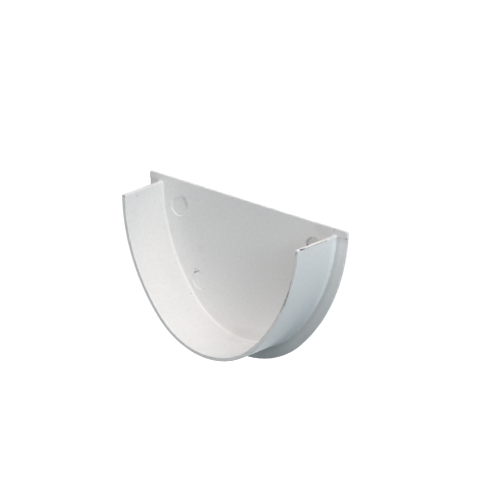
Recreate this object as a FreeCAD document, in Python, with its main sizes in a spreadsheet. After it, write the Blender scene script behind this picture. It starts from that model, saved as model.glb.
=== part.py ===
import FreeCAD, Part
import math
import os
import Sketcher

# A gutter end cap: one white moulding with a flat plate and a deep U-shaped collar.
# X runs along the plate's straight top edge and Z is up.
# The plate's inner face is at Y = 0 and the collar stands out of it towards -Y.
# The origin is on that face, midway between the collar's two top ends.

Vector = FreeCAD.Vector

# Driving sizes in millimetres
SIZES = {
    "collar_half_width": 60.4,
    "collar_depth": 76.1,
    "crown_radius": 46.7,
    "flank_radius": 94.6,
    "collar_reach": 30.2,
    "root_wall": 2.5,
    "outer_draft": 0.4,
    "inner_draft": 0.05,
    "flange_width": 6.9,
    "flange_land": 1.2,
    "flange_fall": 0.5,
    "plate_thickness": 1.5,
    "strip_height": 4.0,
    "corner_radius": 1.2,
    "root_fillet": 0.9,
    "edge_round": 0.35,
    "edge_break": 0.3,
    "boss_radius": 5.1,
    "boss_height": 0.3,
    "upper_boss_inset": 14.0,
    "upper_boss_drop": 11.2,
    "lower_boss_side": 31.2,
    "lower_boss_rise": 27.2,
}

# A sketch counts an arc's three points from 1, and its two axes from -1 down, with its origin on the first
START, END, CENTRE = range(1, 4)
X_AXIS, Z_AXIS = range(-1, -3, -1)
ORIGIN = X_AXIS

# Points or radii closer than this are the same
TOUCH = 1e-4

# Degrees above its centre at which each flank of the collar's sketches ends, before the collar is cut level
TIP_RISE = 12

doc = FreeCAD.newDocument("gutter_end_cap")
sheet = doc.addObject("Spreadsheet::Sheet", "sizes")
for row, (alias, value) in enumerate(SIZES.items(), start=1):
    sheet.set(f"A{row}", alias.replace("_", " "))
    sheet.set(f"B{row}", str(value))
    sheet.setAlias(f"B{row}", alias)
doc.recompute()

body = doc.addObject("PartDesign::Body", "end_cap")
body.Label = "end_cap"


def size(alias):
    """A driving size, read from the sheet."""
    return float(sheet.get(alias))


def flank_arc():
    """The right flank's centre, and the angle from straight down at which the crown meets it."""
    crown_z = size("crown_radius") - size("collar_depth")
    gap = size("flank_radius") - size("crown_radius")
    half = size("collar_half_width")
    spare = size("flank_radius") ** 2 - gap ** 2 - half ** 2 - crown_z ** 2
    turn = math.asin(spare / (2 * gap * math.hypot(half, crown_z))) - math.atan2(crown_z, half)
    return -gap * math.sin(turn), crown_z + gap * math.cos(turn), turn


# Sketch helpers

def new_sketch(name, towards_back="0"):
    """A sketch parallel to the plate; towards_back is its distance along +Y, as an expression."""
    sketch = body.newObject("Sketcher::SketchObject", name)
    planes = body.Origin.OriginFeatures
    sketch.AttachmentSupport = [(next(p for p in planes if p.Role == "XZ_Plane"), "")]
    sketch.MapMode = "FlatFace"
    sketch.setExpression("AttachmentOffset.Base.z", f"-({towards_back})")
    return sketch


def add_arc(sketch, centre, radius, start, end):
    circle = Part.Circle(Vector(centre[0], centre[1], 0), Vector(0, 0, 1), radius)
    return sketch.addGeometry(Part.ArcOfCircle(circle, start, end))


def constrain(sketch, kind, *where, expression=None, name=None):
    """Add a constraint, and bind its value to the sheet where there is an expression."""
    index = sketch.addConstraint(Sketcher.Constraint(kind, *where))
    if name:
        sketch.renameConstraint(index, name)
    if expression:
        sketch.setExpression(f"Constraints[{index}]", expression)
    return index


def close_top(sketch, first, first_tip, second, second_tip):
    """A straight line between two arc ends."""
    tips = []
    for geometry, tip in ((first, first_tip), (second, second_tip)):
        arc = sketch.Geometry[geometry]
        tips.append(arc.StartPoint if tip == START else arc.EndPoint)
    line = sketch.addGeometry(Part.LineSegment(*tips))
    constrain(sketch, "Coincident", line, START, first, first_tip)
    constrain(sketch, "Coincident", line, END, second, second_tip)


def add_u(sketch, outward, rise):
    """Left flank, crown and right flank as tangent arcs, outward of the collar's outer line.

    The flanks end at the angle rise above their centres.
    """
    flank_x, flank_z, turn = flank_arc()
    crown_z = size("crown_radius") - size("collar_depth")
    down = -math.pi / 2
    radius = size("flank_radius") + outward
    left = add_arc(sketch, (-flank_x, flank_z), radius, math.pi - rise, 3 * math.pi / 2 - turn)
    crown = add_arc(sketch, (0, crown_z), size("crown_radius") + outward, down - turn, down + turn)
    right = add_arc(sketch, (flank_x, flank_z), radius, down + turn, rise)
    constrain(sketch, "Tangent", left, END, crown, START)
    constrain(sketch, "Tangent", crown, END, right, START)
    constrain(sketch, "PointOnObject", crown, CENTRE, Z_AXIS)
    constrain(sketch, "DistanceY", crown, CENTRE, ORIGIN, START, -crown_z,
              expression="sizes.collar_depth - sizes.crown_radius")
    return left, crown, right


def level_u(sketch, outward=0.0):
    """A U whose two tips are level with the collar's top ends."""
    rise = math.asin(-flank_arc()[1] / (size("flank_radius") + outward))
    left, crown, right = add_u(sketch, outward, rise)
    constrain(sketch, "PointOnObject", left, START, X_AXIS)
    constrain(sketch, "PointOnObject", right, END, X_AXIS)
    return left, crown, right


def tall_u(sketch, outward, expression):
    """A U whose tips stand above the collar's top ends, at the same angle whatever its radius."""
    left, crown, right = add_u(sketch, outward, math.radians(TIP_RISE))
    tip = (size("flank_radius") + outward) * math.sin(math.radians(TIP_RISE))
    lift = f"(sizes.flank_radius + ({expression})) * sin({TIP_RISE}deg)"
    constrain(sketch, "DistanceY", left, CENTRE, left, START, tip, expression=lift)
    constrain(sketch, "DistanceY", right, CENTRE, right, END, tip, expression=lift)
    return left, crown, right


def hold_flanks(sketch, left, right):
    """Put the flanks' centres where the reference line has them."""
    flank_x, flank_z, _ = flank_arc()
    inset = "gutter_line.Constraints.flank_inset"
    constrain(sketch, "DistanceX", right, CENTRE, ORIGIN, START, -flank_x, expression=inset)
    constrain(sketch, "DistanceX", ORIGIN, START, left, CENTRE, -flank_x, expression=inset)
    for flank in (left, right):
        constrain(sketch, "DistanceY", ORIGIN, START, flank, CENTRE, flank_z,
                  expression="gutter_line.Constraints.flank_height")


def hold_u(sketch, u, outward, expression):
    """Make a U parallel to the collar's outer line."""
    left, crown, right = u
    constrain(sketch, "Radius", crown, size("crown_radius") + outward,
              expression=f"sizes.crown_radius + ({expression})")
    hold_flanks(sketch, left, right)


def u_band(name, towards_back, outer, inner):
    """A sketch of the collar's wall; outer and inner are (distance, expression) pairs."""
    sketch = new_sketch(name, towards_back)
    outer_u = tall_u(sketch, *outer)
    inner_u = tall_u(sketch, *inner)
    hold_u(sketch, outer_u, *outer)
    hold_u(sketch, inner_u, *inner)
    close_top(sketch, outer_u[2], END, inner_u[2], END)
    close_top(sketch, inner_u[0], START, outer_u[0], START)
    return sketch


def space_above(name):
    """A sketch of everything above the collar's top ends, wider and taller than the collar's tips."""
    sketch = new_sketch(name)
    reach = size("flank_radius")
    corners = [Vector(-reach, 0, 0), Vector(reach, 0, 0), Vector(reach, reach, 0), Vector(-reach, reach, 0)]
    low, right, high, left = (
        sketch.addGeometry(Part.LineSegment(*ends)) for ends in zip(corners, corners[1:] + corners[:1])
    )
    for line, following in ((low, right), (right, high), (high, left), (left, low)):
        constrain(sketch, "Coincident", line, END, following, START)
    for line in (right, left):
        constrain(sketch, "Vertical", line)
    constrain(sketch, "Horizontal", high)
    for end in (START, END):
        constrain(sketch, "PointOnObject", low, end, X_AXIS)
    constrain(sketch, "DistanceX", low, START, ORIGIN, START, reach, expression="sizes.flank_radius")
    constrain(sketch, "DistanceX", ORIGIN, START, low, END, reach, expression="sizes.flank_radius")
    constrain(sketch, "DistanceY", right, START, right, END, reach, expression="sizes.flank_radius")
    return sketch


# Feature helpers

def pad(name, sketch, length):
    """Thicken a sketch towards -Y."""
    feature = body.newObject("PartDesign::Pad", name)
    feature.Profile = sketch
    feature.setExpression("Length", length)


def edges_where(chosen):
    """Names of the edges of the solid so far for which chosen(edge) holds."""
    doc.recompute()
    return [f"Edge{i}" for i, edge in enumerate(body.Tip.Shape.Edges, start=1) if chosen(edge)]


def at_level(edge, level):
    """Whether an edge lies at one distance Y from the plate's inner face."""
    return all(abs(vertex.Y - level) < TOUCH for vertex in edge.Vertexes)


def on_u(edge, level, outward):
    """Whether an edge belongs to the U at this level, outward of the collar's outer line."""
    if not at_level(edge, level):
        return False
    radii = (size("crown_radius") + outward, size("flank_radius") + outward)
    radius = getattr(edge.Curve, "Radius", 0.0)
    return any(abs(radius - wanted) < TOUCH for wanted in radii)


def on_root(edge):
    """Whether an edge is where the collar's inner or outer side meets the plate."""
    return on_u(edge, 0.0, 0.0) or on_u(edge, 0.0, -size("root_wall"))


def free_end(edge):
    """Whether an edge is at the collar's rim, or runs from the rim to the plate along a top end."""
    reach = size("collar_reach")
    level = all(abs(vertex.Z) < TOUCH for vertex in edge.Vertexes)
    return at_level(edge, -reach) or (level and abs(edge.Vertexes[0].Y - edge.Vertexes[-1].Y) > reach - TOUCH)


def on_front(edge):
    """Whether an edge is the plate's front outer edge, round the flange or along the strip's top."""
    on_strip = at_level(edge, 0.0) and all(end.Z > size("strip_height") / 2 for end in edge.Vertexes)
    return on_strip or on_u(edge, size("flange_fall"), size("flange_width"))


def top_corner(edge):
    """Whether an edge runs through the thickness at one of the plate's two top corners."""
    ends = edge.Vertexes
    crosses = abs(ends[0].Y - ends[-1].Y) > TOUCH
    top, half = size("strip_height"), size("collar_half_width")
    return crosses and all(abs(end.Z - top) < TOUCH and abs(end.X) > half for end in ends)


def dress_edges(name, operation, setting, alias, chosen):
    """A Fillet or a Chamfer on the edges of the solid so far for which chosen(edge) holds."""
    edges = edges_where(chosen)
    base = body.Tip
    feature = body.newObject(f"PartDesign::{operation}", name)
    feature.Base = (base, edges)
    feature.setExpression(setting, f"sizes.{alias}")
    return feature


def round_edges(name, alias, chosen):
    """A rounding whose radius is the named size."""
    return dress_edges(name, "Fillet", "Radius", alias, chosen)


def break_edges(name, alias, chosen):
    """A chamfer whose width is the named size."""
    return dress_edges(name, "Chamfer", "Size", alias, chosen)


# Reference line: the collar's outer line where it meets the plate

gutter_line = new_sketch("gutter_line")
left, crown, right = level_u(gutter_line)
flank_x, flank_z, _ = flank_arc()
half = size("collar_half_width")
constrain(gutter_line, "Radius", crown, size("crown_radius"), expression="sizes.crown_radius")
constrain(gutter_line, "Radius", right, size("flank_radius"), expression="sizes.flank_radius")
constrain(gutter_line, "Equal", right, left)
constrain(gutter_line, "DistanceX", ORIGIN, START, right, END, half,
          expression="sizes.collar_half_width")
constrain(gutter_line, "DistanceX", left, START, ORIGIN, START, half,
          expression="sizes.collar_half_width")
for measured in (
    constrain(gutter_line, "DistanceX", right, CENTRE, ORIGIN, START, -flank_x, name="flank_inset"),
    constrain(gutter_line, "DistanceY", ORIGIN, START, right, CENTRE, flank_z, name="flank_height"),
):
    gutter_line.setDriving(measured, False)
doc.recompute()

# Plate below the collar's top ends. A narrow land runs round the collar, and then the flange falls back.

plate_outline = new_sketch("plate_outline", "sizes.plate_thickness")
outline = level_u(plate_outline, size("flange_width"))
hold_u(plate_outline, outline, size("flange_width"), "sizes.flange_width")
close_top(plate_outline, outline[2], END, outline[0], START)
pad("plate", plate_outline, "sizes.plate_thickness")

flange = break_edges("flange", "flange_fall", lambda edge: on_u(edge, 0.0, size("flange_width")))
flange.ChamferType = "Two distances"
flange.setExpression("Size2", "sizes.flange_width - sizes.flange_land")

# Straight strip along the plate's top, level with the inner face

strip_outline = new_sketch("strip_outline", "sizes.plate_thickness")
strip_top = size("strip_height")
side_radius = size("flank_radius") + size("flange_width")
low = math.asin(-flank_z / side_radius)
high = math.asin((strip_top - flank_z) / side_radius)
right = add_arc(strip_outline, (flank_x, flank_z), side_radius, low, high)
left = add_arc(strip_outline, (-flank_x, flank_z), side_radius, math.pi - high, math.pi - low)
hold_flanks(strip_outline, left, right)
for side, lower, upper in ((right, START, END), (left, END, START)):
    constrain(strip_outline, "Radius", side, side_radius,
              expression="sizes.flank_radius + sizes.flange_width")
    constrain(strip_outline, "PointOnObject", side, lower, X_AXIS)
    constrain(strip_outline, "DistanceY", ORIGIN, START, side, upper, strip_top,
              expression="sizes.strip_height")
close_top(strip_outline, right, END, left, START)
close_top(strip_outline, left, END, right, START)
pad("strip", strip_outline, "sizes.plate_thickness")
round_edges("top_corners", "corner_radius", top_corner)

# Four low round bosses on the plate's inner face, where the ejector pins pressed.
# The upper pair is set in from the collar's sides, and the lower pair up from its lowest line.

bosses = new_sketch("boss_circles")
for side, drop in (
    ("sizes.collar_half_width - sizes.upper_boss_inset", "sizes.upper_boss_drop"),
    ("sizes.lower_boss_side", "sizes.collar_depth - sizes.lower_boss_rise"),
):
    out, down = (float(bosses.evalExpression(length)) for length in (side, drop))
    for way in (1, -1):
        outline = Part.Circle(Vector(way * out, -down, 0), Vector(0, 0, 1), size("boss_radius"))
        circle = bosses.addGeometry(outline)
        ends = (ORIGIN, START, circle, CENTRE) if way > 0 else (circle, CENTRE, ORIGIN, START)
        constrain(bosses, "DistanceX", *ends, out, expression=side)
        constrain(bosses, "DistanceY", circle, CENTRE, ORIGIN, START, down, expression=drop)
        constrain(bosses, "Radius", circle, size("boss_radius"), expression="sizes.boss_radius")
pad("bosses", bosses, "sizes.boss_height")

# Collar, whose wall thins from the plate to the rim, cut level at its two top ends

root = u_band("collar_root", "0", (0.0, "0"), (-size("root_wall"), "-sizes.root_wall"))
rim = u_band("collar_rim", "-sizes.collar_reach",
             (-size("outer_draft"), "-sizes.outer_draft"),
             (size("inner_draft") - size("root_wall"), "sizes.inner_draft - sizes.root_wall"))
collar = body.newObject("PartDesign::AdditiveLoft", "collar")
collar.Profile = root
collar.Sections = [rim]
collar.Ruled = True

top_ends = body.newObject("PartDesign::Pocket", "top_ends")
top_ends.Profile = space_above("above_collar")
top_ends.Type = "ThroughAll"
top_ends.Reversed = True

round_edges("free_edges", "edge_round", free_end)
round_edges("roots", "root_fillet", on_root)
break_edges("plate_back", "edge_break", lambda edge: at_level(edge, size("plate_thickness")))
break_edges("plate_front", "edge_break", on_front)

doc.recompute()
for item in doc.Objects:
    if "Invalid" in item.State or "Error" in item.State:
        raise RuntimeError(f"{item.Name} was not built")
if body.Shape.isNull() or not body.Shape.isValid() or len(body.Shape.Solids) != 1:
    raise RuntimeError("the end cap is not one valid solid")

os.makedirs("parts", exist_ok=True)
body.Shape.exportStep(f"parts/{body.Label}.step")
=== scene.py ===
import math

import bmesh
import bpy
from mathutils import Matrix, Vector
from mathutils.bvhtree import BVHTree
from mathutils.interpolate import poly_3d_calc


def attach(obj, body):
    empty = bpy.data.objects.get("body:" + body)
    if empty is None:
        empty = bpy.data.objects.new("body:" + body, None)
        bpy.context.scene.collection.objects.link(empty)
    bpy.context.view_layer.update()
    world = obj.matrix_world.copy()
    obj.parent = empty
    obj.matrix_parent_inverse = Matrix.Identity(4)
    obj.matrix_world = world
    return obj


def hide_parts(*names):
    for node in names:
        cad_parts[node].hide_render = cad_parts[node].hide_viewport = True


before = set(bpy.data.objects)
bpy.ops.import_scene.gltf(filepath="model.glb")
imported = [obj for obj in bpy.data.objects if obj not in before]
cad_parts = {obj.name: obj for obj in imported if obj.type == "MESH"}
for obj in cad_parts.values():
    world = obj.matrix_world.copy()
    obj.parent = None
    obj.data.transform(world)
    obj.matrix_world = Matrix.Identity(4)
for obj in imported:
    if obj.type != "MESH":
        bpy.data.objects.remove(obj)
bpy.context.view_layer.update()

MM = 0.001


class Value:
    """A number in a finish, worked out at each point of the surface. Operators on it add Math nodes."""

    def __init__(self, finish, socket):
        self.finish = finish
        self.socket = socket

    def maths(self, operation, *terms):
        node = self.finish.node("ShaderNodeMath", {"operation": operation}, dict(enumerate(terms)))
        return node.out("Value")

    def __add__(self, other):
        return self.maths("ADD", self, other)

    def __radd__(self, other):
        return self.maths("ADD", other, self)

    def __sub__(self, other):
        return self.maths("SUBTRACT", self, other)

    def __rsub__(self, other):
        return self.maths("SUBTRACT", other, self)

    def __mul__(self, other):
        return self.maths("MULTIPLY", self, other)

    def __rmul__(self, other):
        return self.maths("MULTIPLY", other, self)

    def __truediv__(self, other):
        return self.maths("DIVIDE", self, other)

    def __abs__(self):
        return self.maths("ABSOLUTE", self)

    def root(self):
        return self.maths("SQRT", self)

    def least(self, other):
        return self.maths("MINIMUM", self, other)

    def most(self, other):
        return self.maths("MAXIMUM", self, other)

    def rise(self, start, end):
        """0 up to start, 1 from end on, with a smooth step between them. start may be the larger."""
        return self.finish.node(
            "ShaderNodeMapRange", {"interpolation_type": "SMOOTHSTEP"},
            {"Value": self, "From Min": start, "From Max": end, "To Min": 0.0, "To Max": 1.0},
        ).out("Result")


class Node:
    """One shader node, whose sockets are found by identifier or name."""

    def __init__(self, finish, node):
        self.finish = finish
        self.node = node

    def out(self, name):
        return Value(self.finish, pick(self.node.outputs, name))


def pick(sockets, name):
    if isinstance(name, int):
        return sockets[name]
    for socket in sockets:
        if socket.identifier == name:
            return socket
    return sockets[name]


class Finish:
    """The node tree of a material or of the world."""

    def __init__(self, tree):
        self.tree = tree
        tree.nodes.clear()

    def node(self, kind, settings=None, inputs=None):
        node = self.tree.nodes.new(kind)
        for name, setting in (settings or {}).items():
            setattr(node, name, setting)
        for name, value in (inputs or {}).items():
            socket = pick(node.inputs, name)
            if isinstance(value, Value):
                self.tree.links.new(value.socket, socket)
            else:
                socket.default_value = value
        return Node(self, node)

    def vector(self, operation, first, second, result="Vector"):
        node = self.node("ShaderNodeVectorMath", {"operation": operation}, {0: first, 1: second})
        return node.out(result)

    def scaled(self, vector, scale):
        node = self.node("ShaderNodeVectorMath", {"operation": "SCALE"}, {"Vector": vector, "Scale": scale})
        return node.out("Vector")

    def mix(self, mask, low, high):
        """The colour low where mask is 0, and high where it is 1."""
        return self.node(
            "ShaderNodeMix", {"data_type": "RGBA"},
            {"Factor_Float": mask, "A_Color": low, "B_Color": high},
        ).out("Result_Color")

    def noise(self, place, size, detail=2.0, roughness=0.5):
        """Noise from 0 to 1 whose blotches are about size metres across."""
        return self.node(
            "ShaderNodeTexNoise", {"noise_dimensions": "3D"},
            {"Vector": place, "Scale": 1.0 / size, "Detail": detail, "Roughness": roughness},
        ).out("Fac")


def new_finish(name):
    material = bpy.data.materials.new(name)
    material.use_nodes = True
    return material, Finish(material.node_tree)


# The moulding, with the forms that are finer than the source's

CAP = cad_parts["end_cap"]

# Lengths in mm, as the source has them
COLLAR_HALF_WIDTH = 60.4
COLLAR_DEPTH = 30.2
COLLAR_DRAFT = 0.4
WALL = 2.5
PIN_MARKS = ((-46.4, -11.2), (46.4, -11.2), (-31.2, -48.9), (31.2, -48.9))
PIN_RADIUS = 5.1
PIN_HEIGHT = 0.3

# The pin marks as the photo has them, and how near a vertex of theirs is to the source's disc
PIN_FLOOR_RADIUS = 4.65
PIN_DEPTH = 0.4
PIN_HEIGHT_SLACK = 0.05
PIN_RADIUS_SLACK = 0.2

# Vertices this near are one, and a face this near lies on the source's surface
JOIN = 0.002
ON_FACE = 0.002

# Edges sharper than this, in degrees, stay sharp
SHARP_ANGLE = 30

# A corner is looked up a little towards its face's centre, and the normal found has to suit the face
TO_CENTRE = 0.05
LEAST_LENGTH = 0.5
LEAST_FACING = 0.3

CHIPS = (
    # start and end along the right wall's top edge, across, deep, and set in from the edge, in mm
    (-28.7, -24.4, 0.48, 0.50, 0.40),
    (-24.6, -21.0, 0.32, 0.26, 0.20),
    (-20.6, -15.6, 0.24, 0.20, 0.10),
)
CHIP_STEPS = 14
CHIP_SIDES = 8

# A chip swells like the middle of a half wave, which starts at CHIP_BLUNT and takes CHIP_SPAN of it
CHIP_BLUNT = 0.06
CHIP_SPAN = 0.88

# The bumps on a chip's sides: their height as a share of its size, and their waves along it and round it
BUMP_HEIGHT = 0.22
BUMPS_ALONG = 5.1
BUMPS_ROUND = 2.3


def joined(source):
    """The vertices and triangles of source, with vertices at one place made one."""
    shape = bmesh.new()
    shape.from_mesh(source)
    bmesh.ops.remove_doubles(shape, verts=shape.verts, dist=JOIN * MM)
    bmesh.ops.triangulate(shape, faces=shape.faces)
    shape.verts.index_update()
    places = [v.co.copy() for v in shape.verts]
    faces = [tuple(v.index for v in f.verts) for f in shape.faces]
    shape.free()
    return places, faces


def mesh_of(places, faces):
    mesh = bpy.data.meshes.new("end_cap_moulding")
    mesh.from_pydata(places, [], faces)
    return mesh


def sink_pin_marks(places):
    """Press the four round pin marks into the plate, where the source has them as low discs."""
    shrink = PIN_FLOOR_RADIUS / PIN_RADIUS
    for place in places:
        for x, z in PIN_MARKS:
            out = math.hypot(place.x / MM - x, place.z / MM - z)
            off_level = abs(place.y / MM + PIN_HEIGHT)
            if off_level < PIN_HEIGHT_SLACK and out < PIN_RADIUS + PIN_RADIUS_SLACK:
                place.x = (x + (place.x / MM - x) * shrink) * MM
                place.z = (z + (place.z / MM - z) * shrink) * MM
                place.y = PIN_DEPTH * MM


def chip(start, end, across, deep, inset, seed):
    """A rough spindle along the outer top edge of the right wall, to be cut out of it."""
    places = []
    for step in range(CHIP_STEPS + 1):
        along = step / CHIP_STEPS
        y = start + (end - start) * along
        swell = math.sqrt(math.sin(math.pi * (CHIP_BLUNT + CHIP_SPAN * along)))
        middle = COLLAR_HALF_WIDTH + COLLAR_DRAFT * y / COLLAR_DEPTH - inset
        for side in range(CHIP_SIDES):
            angle = 2 * math.pi * (side + 0.5) / CHIP_SIDES
            bump = 1 + BUMP_HEIGHT * math.sin(BUMPS_ALONG * along * CHIP_STEPS + BUMPS_ROUND * side + seed)
            x = middle + across * swell * bump * math.cos(angle)
            z = deep * swell * bump * math.sin(angle)
            places.append((x * MM, y * MM, z * MM))
    faces = [tuple(reversed(range(CHIP_SIDES)))]
    for step in range(CHIP_STEPS):
        for side in range(CHIP_SIDES):
            first = step * CHIP_SIDES + side
            second = step * CHIP_SIDES + (side + 1) % CHIP_SIDES
            faces.append((first, second, second + CHIP_SIDES, first + CHIP_SIDES))
    faces.append(tuple(CHIP_STEPS * CHIP_SIDES + side for side in range(CHIP_SIDES)))
    mesh = bpy.data.meshes.new("chip")
    mesh.from_pydata(places, [], faces)
    tool = bmesh.new()
    tool.from_mesh(mesh)
    bmesh.ops.triangulate(tool, faces=tool.faces)
    bmesh.ops.recalc_face_normals(tool, faces=tool.faces)
    tool.to_mesh(mesh)
    tool.free()
    body = bpy.data.objects.new("chip", mesh)
    bpy.context.scene.collection.objects.link(body)
    return body


def cut_chips(piece):
    """Cut the chips out of the piece, and keep the result as its mesh."""
    tools = [chip(*size, seed) for seed, size in enumerate(CHIPS)]
    for tool in tools:
        cut = piece.modifiers.new("chip", "BOOLEAN")
        cut.operation = "DIFFERENCE"
        cut.solver = "EXACT"
        cut.object = tool
    seen = piece.evaluated_get(bpy.context.evaluated_depsgraph_get())
    mesh = bpy.data.meshes.new_from_object(seen)
    piece.modifiers.clear()
    piece.data = mesh
    for tool in tools:
        bpy.data.meshes.remove(tool.data)


def keep_normals(mesh, source):
    """Give mesh the source's smooth normals wherever it still lies on the source's surface."""
    corners = [c.vector.copy() for c in source.corner_normals]
    places = [v.co.copy() for v in source.vertices]
    faces = [tuple(f.vertices) for f in source.polygons]
    starts = [f.loop_start for f in source.polygons]
    tree = BVHTree.FromPolygons(places, faces)
    normals = [c.vector.copy() for c in mesh.corner_normals]
    for face in mesh.polygons:
        for loop in face.loop_indices:
            place = mesh.vertices[mesh.loops[loop].vertex_index].co
            _, _, near, _ = tree.find_nearest(place.lerp(face.center, TO_CENTRE), ON_FACE * MM)
            if near is None:
                continue
            shares = poly_3d_calc([places[v] for v in faces[near]], place)
            normal = Vector((0, 0, 0))
            for turn, share in enumerate(shares):
                normal += corners[starts[near] + turn] * share
            if normal.length > LEAST_LENGTH and normal.dot(face.normal) > LEAST_FACING:
                normals[loop] = normal.normalized()
    mesh.normals_split_custom_set(normals)


def moulding():
    places, faces = joined(CAP.data)
    sink_pin_marks(places)
    piece = bpy.data.objects.new("end_cap_moulding", mesh_of(places, faces))
    bpy.context.scene.collection.objects.link(piece)
    cut_chips(piece)
    piece.data = mesh_of(*joined(piece.data))
    piece.data.shade_smooth()
    piece.data.set_sharp_from_angle(angle=math.radians(SHARP_ANGLE))
    keep_normals(piece.data, CAP.data)
    return piece


# The moulded plastic, its marks, and the shade and highlights painted on it

DARK_GREY = (0.10, 0.115, 0.12, 1)
MID_GREY = (0.30, 0.32, 0.33, 1)
BLUE_GREY = (0.05, 0.09, 0.12, 1)
BROWN_GREY = (0.22, 0.195, 0.17, 1)
CREAM = (0.50, 0.48, 0.43, 1)
# Painted highlight: a near white laid on lit edges of the pin marks and along the collar's foot
HIGHLIGHT_WHITE = (0.98, 0.975, 0.97, 1)
MARKS = (
    # start, end, width and soft edge in mm, tone, strength
    # Shade round the upper left pin mark, and a speck in it
    ((-44.6, 0, -4.9), (-42.6, 0, -5.6), 0.35, 1.3, MID_GREY, 0.16),
    ((-42.8, 0, -5.7), (-41.1, 0, -8.4), 0.30, 1.6, MID_GREY, 0.26),
    ((-41.4, 0, -7.6), (-40.6, 0, -10.4), 0.10, 1.0, MID_GREY, 0.22),
    ((-44.9, 0, -9.5), (-44.8, 0, -9.6), 0.15, 0.35, MID_GREY, 0.55),
    # Painted highlights on its edge, most along the lower left
    ((-51.4, 0, -13.0), (-50.0, 0, -14.9), 0.18, 0.35, HIGHLIGHT_WHITE, 0.9),
    ((-50.0, 0, -14.9), (-47.8, 0, -16.2), 0.18, 0.35, HIGHLIGHT_WHITE, 0.9),
    ((-47.8, 0, -16.2), (-45.2, 0, -16.2), 0.12, 0.35, HIGHLIGHT_WHITE, 0.6),
    ((-51.3, 0, -10.0), (-50.6, 0, -8.2), 0.10, 0.35, HIGHLIGHT_WHITE, 0.5),
    ((-45.0, 0, -6.2), (-42.8, 0, -7.6), 0.10, 0.30, HIGHLIGHT_WHITE, 0.6),
    # A dark speck by the lower left pin mark, painted shade along the mark's upper edge, darkest at its
    # left end, and painted highlights along its lower left edge
    ((-34.3, 0, -45.1), (-33.9, 0, -44.9), 0.32, 0.45, DARK_GREY, 0.70),
    ((-34.1, 0, -44.9), (-31.6, 0, -43.4), 0.18, 0.40, MID_GREY, 0.60),
    ((-34.2, 0, -43.4), (-33.4, 0, -42.9), 0.20, 0.9, MID_GREY, 0.22),
    ((-27.9, 0, -52.8), (-27.8, 0, -52.7), 0.20, 0.40, DARK_GREY, 0.35),
    ((-35.3, 0, -50.5), (-33.9, 0, -52.3), 0.25, 0.40, HIGHLIGHT_WHITE, 1.0),
    ((-33.9, 0, -52.3), (-30.6, 0, -53.5), 0.25, 0.40, HIGHLIGHT_WHITE, 1.0),
    ((-33.3, 0, -47.8), (-31.9, 0, -50.6), 0.12, 0.35, HIGHLIGHT_WHITE, 0.7),
    # Painted shade on the upper right pin mark: over its face, in a dark spot at its left, and along its
    # left and upper edge
    ((46.4, 0, -10.6), (46.6, 0, -10.4), 4.8, 0.9, MID_GREY, 0.16),
    ((41.4, 0, -9.7), (41.5, 0, -9.5), 0.35, 0.5, BLUE_GREY, 0.65),
    ((41.0, 0, -8.4), (41.9, 0, -6.9), 0.30, 0.8, MID_GREY, 0.55),
    ((41.9, 0, -6.9), (43.6, 0, -5.3), 0.30, 0.8, MID_GREY, 0.50),
    ((43.6, 0, -5.3), (45.9, 0, -4.6), 0.25, 0.8, MID_GREY, 0.30),
    ((45.9, 0, -4.6), (48.3, 0, -5.0), 0.20, 0.8, MID_GREY, 0.22),
    # A grey mark and a grey patch on the strip's right part, and at the plate's right end a painted shadow
    # line under the strip's edge, darkest at its outer end
    ((58.8, 0, 3.9), (58.7, 0, 0.6), 0.30, 0.9, MID_GREY, 0.16),
    ((50.0, 0, 1.5), (64.0, 0, 1.0), 1.5, 4.0, MID_GREY, 0.13),
    ((61.4, 0, -0.3), (66.8, 0, 0.1), 0.05, 0.35, MID_GREY, 0.30),
    ((67.0, 0, 0.1), (67.3, 0, 0.1), 0.28, 0.45, DARK_GREY, 0.65),
    # A faint stain on the plate
    ((-31.0, 0, -31.0), (-30.0, 0, -30.0), 0.8, 2.0, MID_GREY, 0.06),
    # Dark marks in the chipped edge of the right wall
    ((59.45, -28.1, -0.1), (59.5, -26.4, -0.1), 0.40, 0.35, BLUE_GREY, 0.92),
    ((59.5, -26.2, -0.1), (59.6, -25.0, -0.1), 0.34, 0.35, BROWN_GREY, 0.85),
    ((59.9, -24.0, -0.1), (60.0, -21.2, -0.1), 0.22, 0.50, MID_GREY, 0.55),
    ((60.1, -20.4, -0.1), (60.3, -7.5, -0.3), 0.10, 0.40, BROWN_GREY, 0.50),
    # Dark marks on the rim
    ((57.7, -30.2, -2.4), (58.9, -30.2, -1.2), 0.35, 0.7, MID_GREY, 0.42),
    ((-59.2, -30.2, 0.0), (-57.3, -30.2, -1.1), 0.16, 0.40, DARK_GREY, 0.62),
    ((56.0, -30.2, -17.3), (54.4, -30.2, -24.0), 0.10, 0.35, DARK_GREY, 0.40),
    ((54.4, -30.2, -24.0), (51.8, -30.2, -31.5), 0.20, 0.45, DARK_GREY, 0.60),
    ((51.8, -30.2, -31.5), (49.5, -30.2, -36.0), 0.12, 0.35, DARK_GREY, 0.40),
    # Specks inside the collar, and along the bottom corner between plate and collar a faint cream stain
    # that is partly real and partly painted shade
    ((-57.7, -20.3, -2.4), (-57.7, -20.4, -2.6), 0.22, 0.4, DARK_GREY, 0.40),
    ((-34.9, -1.7, -56.8), (-34.9, -1.9, -56.8), 0.22, 0.4, DARK_GREY, 0.30),
    ((-4.0, -5.2, -73.4), (1.0, -4.6, -73.6), 0.6, 2.6, CREAM, 0.10),
    ((-4.0, 0, -71.5), (18.0, 0, -69.5), 0.8, 5.0, CREAM, 0.17),
)

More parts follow.
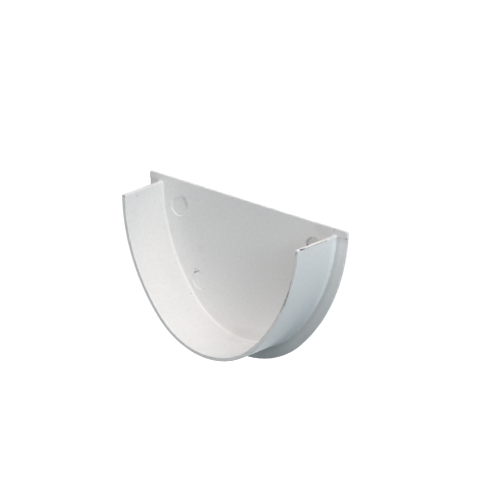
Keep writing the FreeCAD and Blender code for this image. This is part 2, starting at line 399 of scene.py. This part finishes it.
# The collar's outer line, in mm: a crown arc below and two flank arcs, and the slope along which they meet
CROWN_RADIUS = 46.7
CROWN_DROP = 29.4
FLANK_RADIUS = 94.6
FLANK_IN = 34.11
FLANK_RISE = 4.23
CROWN_TURN = 1.014
ARC_BLEND = (0.0, 0.05)

# The sizes of the finish's blotches, in mm
CLOUD_SIZE = 22
WAVE_SIZE = 7
PATCH_SIZE = 5
MOTTLE_SIZE = 1.7
SPECK_SIZE = 1.6
GRAIN_SIZE = 0.9
SCATTER_SIZE = 0.8
FINE_SIZE = 0.35

# How far the marks' edges wander, in mm, to each side of the noise's middle
SCATTER = 0.5
NOISE_MIDDLE = (0.5, 0.5, 0.5)

# The white plastic's two tones, and how strongly each blotch, line and relief shows. Heights are in mm
DULL_WHITE = (0.83, 0.83, 0.826, 1)
CLEAR_WHITE = (0.865, 0.865, 0.86, 1)
MOTTLE = 0.10
SPECK = 0.25
RIM_LINE = 0.12
RIM_LINE_PATCHY = 0.3
# Painted shade beside the collar's outer foot, and how patchy it is
FOOT_SHADE = 0.14
FOOT_SHADE_PATCHY = 0.14
# Painted highlights along the collar's outer and inner foot
OUTER_FOOT_HIGHLIGHT = 0.45
INNER_FOOT_HIGHLIGHT = 0.34
FINE_RELIEF = 0.4
RELIEF = 0.05
RELIEF_HEIGHT = 0.2
WAVES = 0.08
WAVES_HEIGHT = 1.0

# The roughness of the clean plastic, what clouds, grain and the marks, real stains and painted light alike,
# add to it, and its gloss
ROUGHNESS = 0.30
CLOUD_ROUGHNESS = 0.1
GRAIN_ROUGHNESS = 0.06
MARK_ROUGHNESS = 0.2
REFRACTION = 1.5
SPECULAR = 0.35

# Where noise becomes a blotch: the noise that gives none, and the noise that gives all
MOTTLE_RISE = (0.35, 0.75)
SPECK_RISE = (0.76, 0.80)
PATCH_RISE = (0.4, 0.7)

# Where each line runs, in mm: its middle out from the collar's outer line, and where it is nil and full
RIM_LINE_MIDDLE = 0.45 - WALL
RIM_LINE_ACROSS = (0.45, 0.1)
RIM_LINE_BACK = (0.35, 0.15)
FOOT_LINE_START = (0.2, 0.6)
FOOT_LINE_END = (3.6, 0.8)
FOOT_LINE_DEEP = (0.9, 0.6)
FOOT_LINE_TOP = (0.5, -0.2)
WHITE_LINE_MIDDLE = -0.1
WHITE_LINE_ACROSS = (0.5, 0.3)
WHITE_LINE_ALONG = (-4.8, -0.4)
WHITE_LINE_DOWN = (-62.0, -30.0)
INNER_FOOT_MIDDLE = -0.15 - WALL
INNER_FOOT_ACROSS = (0.65, 0.3)
INNER_FOOT_ALONG = (-1.4, -0.9)
BELOW_TOP = (0.3, 0.0)
PLATE_FRONT = (0.6, 0.3)
MARKED_SIDE = (1.1, 0.7)


def collar_distance(finish, place):
    """How far, in mm, a point lies outside the collar's outer line, and then its y and z in mm."""
    apart = finish.node("ShaderNodeSeparateXYZ", None, {"Vector": place})
    x = abs(apart.out("X") / MM)
    z = apart.out("Z") / MM
    crown = (x * x + (z + CROWN_DROP) * (z + CROWN_DROP)).root() - CROWN_RADIUS
    flank_x = x + FLANK_IN
    flank_z = z - FLANK_RISE
    flank = (flank_x * flank_x + flank_z * flank_z).root() - FLANK_RADIUS
    in_crown = ((-CROWN_DROP - z) * CROWN_TURN - x).rise(*ARC_BLEND)
    return flank + (crown - flank) * in_crown, apart.out("Y") / MM, z


def mark(finish, place, start, end, width, soft):
    """1 within width of the line from start to end, in mm, and 0 beyond the soft edge."""
    start = Vector(start) * MM
    way = Vector(end) * MM - start
    out = finish.vector("SUBTRACT", place, start)
    along = (finish.vector("DOT_PRODUCT", out, way, "Value") / way.length_squared).most(0.0).least(1.0)
    nearest = finish.scaled(way, along)
    return finish.vector("DISTANCE", out, nearest, "Value").rise((width + soft) * MM, width * MM)


def scattered(finish, place):
    """The place shifted a little here and there, for marks with ragged edges."""
    scatter = finish.node(
        "ShaderNodeTexNoise", {"noise_dimensions": "3D"},
        {"Vector": place, "Scale": 1 / (SCATTER_SIZE * MM), "Detail": 2.0},
    ).out("Color")
    away = finish.vector("SUBTRACT", scatter, NOISE_MIDDLE)
    return finish.vector("ADD", place, finish.scaled(away, SCATTER * MM))


def with_lines(finish, colour, place, rough_place):
    """The colour with a grey line along the collar's rim, painted shade beside its outer foot, and painted
    highlights along its foot outside and in, and then y in mm.
    """
    outside, y, z = collar_distance(finish, rough_place)
    patchy = finish.noise(place, PATCH_SIZE * MM, detail=3.0, roughness=0.6)
    below_top = z.rise(*BELOW_TOP) * y.rise(*PLATE_FRONT)

    rim_line = abs(outside - RIM_LINE_MIDDLE).rise(*RIM_LINE_ACROSS)
    rim_line = rim_line * (y + COLLAR_DEPTH).rise(*RIM_LINE_BACK)
    strength = RIM_LINE + RIM_LINE_PATCHY * patchy.rise(*PATCH_RISE)
    colour = finish.mix(strength * rim_line, colour, MID_GREY)

    # Painted shade on the flange beside the collar's outer foot, in patches
    foot_shade = outside.rise(*FOOT_LINE_START) * outside.rise(*FOOT_LINE_END)
    foot_shade = foot_shade * abs(y).rise(*FOOT_LINE_DEEP) * z.rise(*FOOT_LINE_TOP)
    strength = FOOT_SHADE + FOOT_SHADE_PATCHY * patchy
    colour = finish.mix(strength * foot_shade, colour, MID_GREY)

    # Painted highlight along the collar's outer foot, near the plate
    outer_foot_highlight = abs(outside - WHITE_LINE_MIDDLE).rise(*WHITE_LINE_ACROSS) * y.rise(*WHITE_LINE_ALONG)
    outer_foot_highlight = outer_foot_highlight * below_top * z.rise(*WHITE_LINE_DOWN)
    colour = finish.mix(OUTER_FOOT_HIGHLIGHT * outer_foot_highlight, colour, HIGHLIGHT_WHITE)

    # Painted highlight along the collar's inner foot, near the plate
    inner_foot_highlight = abs(outside - INNER_FOOT_MIDDLE).rise(*INNER_FOOT_ACROSS) * y.rise(*INNER_FOOT_ALONG)
    colour = finish.mix(INNER_FOOT_HIGHLIGHT * inner_foot_highlight * below_top, colour, HIGHLIGHT_WHITE)
    return colour, y


def white_pvc():
    material, finish = new_finish("white_pvc_moulded")
    place = finish.node("ShaderNodeTexCoord").out("Object")
    cloud = finish.noise(place, CLOUD_SIZE * MM, detail=3.0)
    wave = finish.noise(place, WAVE_SIZE * MM, detail=2.0)
    grain = finish.noise(place, GRAIN_SIZE * MM, detail=3.0, roughness=0.6)
    fine = finish.noise(place, FINE_SIZE * MM, detail=2.0, roughness=0.6)
    mottle = finish.noise(place, MOTTLE_SIZE * MM, detail=4.0, roughness=0.7)
    speck = finish.noise(place, SPECK_SIZE * MM, detail=1.0)
    colour = finish.mix(cloud, DULL_WHITE, CLEAR_WHITE)
    colour = finish.mix(MOTTLE * mottle.rise(*MOTTLE_RISE), colour, MID_GREY)
    colour = finish.mix(SPECK * speck.rise(*SPECK_RISE), colour, BROWN_GREY)

    rough_place = scattered(finish, place)
    colour, y = with_lines(finish, colour, place, rough_place)
    marked_side = y.rise(*MARKED_SIDE)
    dirt_and_painted_light = 0.0
    for start, end, width, soft, tone, strength in MARKS:
        patch = mark(finish, rough_place, start, end, width, soft) * marked_side
        colour = finish.mix(strength * patch, colour, tone)
        dirt_and_painted_light = patch.most(dirt_and_painted_light)

    relief = finish.node("ShaderNodeBump", None, {
        "Strength": RELIEF, "Distance": RELIEF_HEIGHT * MM, "Height": grain + FINE_RELIEF * fine,
    })
    waves = finish.node("ShaderNodeBump", None, {
        "Strength": WAVES, "Distance": WAVES_HEIGHT * MM, "Height": wave, "Normal": relief.out("Normal"),
    })
    roughness = ROUGHNESS + CLOUD_ROUGHNESS * cloud + GRAIN_ROUGHNESS * grain + MARK_ROUGHNESS * dirt_and_painted_light
    shader = finish.node("ShaderNodeBsdfPrincipled", None, {
        "Base Color": colour,
        "Roughness": roughness,
        "IOR": REFRACTION,
        "Specular IOR Level": SPECULAR,
        "Normal": waves.out("Normal"),
    })
    finish.node("ShaderNodeOutputMaterial", None, {"Surface": shader.out("BSDF")})
    return material


piece = moulding()
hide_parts("end_cap")
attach(piece, "root")
piece.data.materials.clear()
piece.data.materials.append(white_pvc())


# The white floor, the sky and the lamps

WHITE = (1, 1, 1, 1)
FLOOR_DROP = 0.7
FLOOR_HALF = 12.0
FLOOR_WHITE = 0.5
DIM_FLOOR = 0.03
SKY_LEVEL = 0.01
PLAIN = (0.985, 1.0, 1.01)
WARM = (1.22, 0.98, 0.89)
COOL = (0.74, 0.965, 1.08)
PALE = (0.84, 0.955, 0.995)
BLUE = (0.45, 0.95, 1.15)


def seen_direct(finish):
    """1 for what the camera sees, straight or in a gloss or through glass, and 0 for light going round."""
    path = finish.node("ShaderNodeLightPath")
    glossy = path.out("Is Glossy Ray")
    through = path.out("Is Transmission Ray")
    return path.out("Is Camera Ray").most(glossy).most(through)


def grey(level):
    return (level, level, level, 1)


def floor():
    """A wide white floor below the cap. It shows white, and sends little light back to it."""
    mesh = bpy.data.meshes.new("floor")
    turns = ((-1, -1), (1, -1), (1, 1), (-1, 1))
    corners = [(x * FLOOR_HALF, y * FLOOR_HALF, -FLOOR_DROP) for x, y in turns]
    mesh.from_pydata(corners, [], [(0, 1, 2, 3)])
    board = bpy.data.objects.new("floor", mesh)
    bpy.context.scene.collection.objects.link(board)
    material, finish = new_finish("floor_white")
    white = finish.node("ShaderNodeBsdfDiffuse", None, {"Color": grey(FLOOR_WHITE)}).out("BSDF")
    lift = finish.node(
        "ShaderNodeEmission", None, {"Color": WHITE, "Strength": 1 - FLOOR_WHITE * SKY_LEVEL},
    ).out("Emission")
    bright = finish.node("ShaderNodeAddShader", None, {0: white, 1: lift}).out("Shader")
    dim = finish.node("ShaderNodeBsdfDiffuse", None, {"Color": grey(DIM_FLOOR)}).out("BSDF")
    direct = seen_direct(finish)
    both = finish.node("ShaderNodeMixShader", None, {0: direct, 1: dim, 2: bright}).out("Shader")
    finish.node("ShaderNodeOutputMaterial", None, {"Surface": both})
    mesh.materials.append(material)


def sky():
    """A sky that shows white, and lights the cap only a little."""
    world = bpy.data.worlds.new("studio")
    world.use_nodes = True
    bpy.context.scene.world = world
    finish = Finish(world.node_tree)
    shade = finish.node(
        "ShaderNodeBackground", None, {"Color": (*COOL, 1), "Strength": SKY_LEVEL},
    ).out("Background")
    white = finish.node("ShaderNodeBackground", None, {"Color": WHITE, "Strength": 1.0}).out("Background")
    direct = seen_direct(finish)
    both = finish.node("ShaderNodeMixShader", None, {0: direct, 1: shade, 2: white}).out("Shader")
    finish.node("ShaderNodeOutputWorld", None, {"Surface": both})


LAMP_AIM = Vector((0, 0, -35 * MM))
LAMP_REACH = 1.5
WIDE_BOX = 1.0
SMALL_BOX = 0.4
LAMPS = (
    # name, direction from the cap, watts, tone, side
    ("above", (0, 0, 1), 4.84, PLAIN, WIDE_BOX),
    ("above_right", (0.7, 0, 0.7), 5.22, WARM, WIDE_BOX),
    ("above_front", (0, -0.7, 0.7), 7.84, PLAIN, WIDE_BOX),
    ("front_left", (-0.7, -0.7, 0.3), 3.58, PLAIN, WIDE_BOX),
    ("front_right", (0.6, -0.6, 0.65), 2.84, WARM, SMALL_BOX),
    ("right", (1, 0, 0.05), 6.88, COOL, WIDE_BOX),
    ("low_right", (0.9, -0.4, 0.4), 4.6, PALE, SMALL_BOX),
    ("below_front", (0.6, -0.8, -0.35), 0.8, BLUE, SMALL_BOX),
    ("behind", (-0.4, 1, 0.05), 13.0, PLAIN, WIDE_BOX),
)


def soft_box(name, way, watts, tone, side):
    """A square lamp that shines on the cap from that direction."""
    lamp = bpy.data.lights.new(name, "AREA")
    lamp.size = side
    lamp.energy = watts
    lamp.color = tone
    holder = bpy.data.objects.new(name, lamp)
    holder.location = Vector(way).normalized() * LAMP_REACH
    holder.rotation_euler = (LAMP_AIM - holder.location).to_track_quat("-Z", "Y").to_euler()
    bpy.context.scene.collection.objects.link(holder)


# The camera

FRAME_HEIGHT_PX = 491
CAMERA_TURN = 39.767
CAMERA_RISE = 20.640
CAMERA_ROLL = 1.556
CAMERA_DISTANCE = 1959.50 * MM
CAMERA_FOCUS_PX = 3765.26
CAMERA_RIGHT = 3.025 * MM
CAMERA_UP = 19.526 * MM
SENSOR = 36.0
CAMERA_SIGHT = 100


def camera():
    """The photo's camera. Turn, rise and roll are in degrees, and the focus in the photo's pixels."""
    turn, rise, roll = (math.radians(a) for a in (CAMERA_TURN, CAMERA_RISE, CAMERA_ROLL))
    back = Vector((math.sin(turn) * math.cos(rise), -math.cos(turn) * math.cos(rise), math.sin(rise)))
    level = Vector((math.cos(turn), math.sin(turn), 0))
    above = back.cross(level)
    right = level * math.cos(roll) + above * math.sin(roll)
    up = above * math.cos(roll) - level * math.sin(roll)
    lens = bpy.data.cameras.new("camera")
    lens.sensor_fit = "VERTICAL"
    lens.sensor_width = SENSOR
    lens.sensor_height = SENSOR
    lens.lens = CAMERA_FOCUS_PX / FRAME_HEIGHT_PX * SENSOR
    lens.clip_end = CAMERA_SIGHT
    eye = bpy.data.objects.new("camera", lens)
    turned = Matrix((right, up, back)).transposed().to_4x4()
    place = back * CAMERA_DISTANCE - right * CAMERA_RIGHT - up * CAMERA_UP
    eye.matrix_world = Matrix.Translation(place) @ turned
    bpy.context.scene.collection.objects.link(eye)
    bpy.context.scene.camera = eye


floor()
sky()
for lamp in LAMPS:
    soft_box(*lamp)
camera()
bpy.context.scene.view_settings.view_transform = "Standard"
